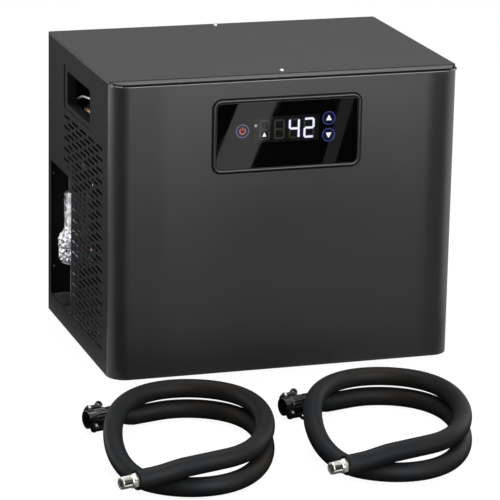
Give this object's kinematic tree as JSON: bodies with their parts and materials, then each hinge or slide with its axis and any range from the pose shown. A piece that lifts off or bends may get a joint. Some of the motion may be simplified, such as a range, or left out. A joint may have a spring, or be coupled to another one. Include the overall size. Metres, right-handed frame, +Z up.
{
  "type": "ice bath chiller",
  "caption": "Water chiller in a black sheet-steel cabinet with slotted sides, touch display and rear ports, with two coiled rubber hoses.",
  "frame": {"origin": "centre of the cabinet's box on the floor", "axes": "+X to the right seen from the front, +Y from the display towards the ports, +Z up"},
  "size_m": [0.5564, 0.7881, 0.3804],
  "materials": {
    "black_paint": "fine satin powder coat",
    "zinc_steel": "bright zinc plate",
    "black_rubber": "matte",
    "bright_steel": "turned and polished",
    "gloss_black": "glossy moulding",
    "display_glass": "smoked glossy panel",
    "circuit_board": "green solder mask",
    "white_plastic": "moulded",
    "black_plastic": "moulded, fine grain",
    "compressor_paint": "semi-gloss black",
    "foil": "crumpled foil tape",
    "fin_aluminium": "rolled sheet",
    "copper": "drawn copper tube",
    "foam_insulation": "closed-cell foam",
    "hose_rubber": "smooth semi-matte"
  },
  "bodies": {
    "cabinet": {"base_pan": "zinc_steel", "rubber_feet": "black_rubber", "front_ledge": "black_paint", "front_fascia": "black_paint", "top_cover": "black_paint", "left_side_panel": "black_paint", "right_side_panel": "black_paint", "rear_panel": "black_paint", "grip_frames": "black_paint", "cabinet_screws": "bright_steel", "display_bezel": "gloss_black", "display_glass": "display_glass", "display_board": "circuit_board", "digit_module": "white_plastic", "control_box": "black_plastic", "control_board": "circuit_board", "run_capacitor": "white_plastic", "cable_gland": "black_plastic", "compressor": "compressor_paint", "compressor_mounts": "black_rubber", "terminal_cover": "black_plastic", "accumulator": "foil", "accumulator_stand": "zinc_steel", "condenser_fins": "fin_aluminium", "condenser_tubes": "copper", "condenser_end_plates": "zinc_steel", "fan_shroud": "black_plastic", "fan_motor": "compressor_paint", "fan_bracket": "zinc_steel", "fan_guard": "bright_steel", "evaporator_vessel": "foam_insulation", "evaporator_lid": "black_plastic", "evaporator_coil": "bright_steel", "hot_gas_pipe": "copper", "liquid_pipe": "copper", "filter_drier": "copper", "capillary_tube": "copper", "suction_pipe": "foam_insulation", "pump_housing": "black_plastic", "pump_motor": "zinc_steel", "inlet_pipe": "hose_rubber", "delivery_pipe": "hose_rubber", "outlet_pipe": "hose_rubber", "water_ports": "bright_steel", "port_nuts": "bright_steel"},
    "fan": {"fan_blade": "black_plastic"},
    "pump_rotor": {"pump_impeller": "white_plastic"},
    "hose_1_assembly": {"hose_1": "hose_rubber", "hose_1_nipple": "bright_steel", "hose_1_coupler": "black_plastic", "hose_1_gasket": "black_rubber"},
    "hose_1_upper_lever_body": {"hose_1_upper_lever": "black_plastic"},
    "hose_1_lower_lever_body": {"hose_1_lower_lever": "black_plastic"},
    "hose_2_assembly": {"hose_2": "hose_rubber", "hose_2_nipple": "bright_steel", "hose_2_coupler": "black_plastic", "hose_2_gasket": "black_rubber"},
    "hose_2_upper_lever_body": {"hose_2_upper_lever": "black_plastic"},
    "hose_2_lower_lever_body": {"hose_2_lower_lever": "black_plastic"}
  },
  "joints": [
    {"name": "fan_spin", "type": "hinge", "parent": "cabinet", "child": "fan", "pos_m": [-0.03, 0.126, 0.19], "axis": [0, 1, 0], "continuous": true},
    {"name": "pump_spin", "type": "hinge", "parent": "cabinet", "child": "pump_rotor", "pos_m": [0.172, 0.072, 0.062], "axis": [0, 1, 0], "continuous": true},
    {"name": "hose_1_lift", "type": "slide", "parent": "cabinet", "child": "hose_1_assembly", "axis": [0, 0, 1], "range_m": [0, 0.3]},
    {"name": "hose_1_upper_lever_turn", "type": "hinge", "parent": "hose_1_assembly", "child": "hose_1_upper_lever_body", "pos_m": [-0.29629, -0.32679, 0.02514], "axis": [0.1688, -0.6867, 0.7071], "range_deg": [0, 100]},
    {"name": "hose_1_lower_lever_turn", "type": "hinge", "parent": "hose_1_assembly", "child": "hose_1_lower_lever_body", "pos_m": [-0.29207, -0.34396, 0.00746], "axis": [-0.1688, 0.6867, -0.7071], "range_deg": [0, 100]},
    {"name": "hose_2_lift", "type": "slide", "parent": "cabinet", "child": "hose_2_assembly", "axis": [0, 0, 1], "range_m": [0, 0.3]},
    {"name": "hose_2_upper_lever_turn", "type": "hinge", "parent": "hose_2_assembly", "child": "hose_2_upper_lever_body", "pos_m": [-0.05729, -0.34079, 0.02514], "axis": [0.1688, -0.6867, 0.7071], "range_deg": [0, 100]},
    {"name": "hose_2_lower_lever_turn", "type": "hinge", "parent": "hose_2_assembly", "child": "hose_2_lower_lever_body", "pos_m": [-0.05307, -0.35796, 0.00746], "axis": [-0.1688, 0.6867, -0.7071], "range_deg": [0, 100]}
  ]
}
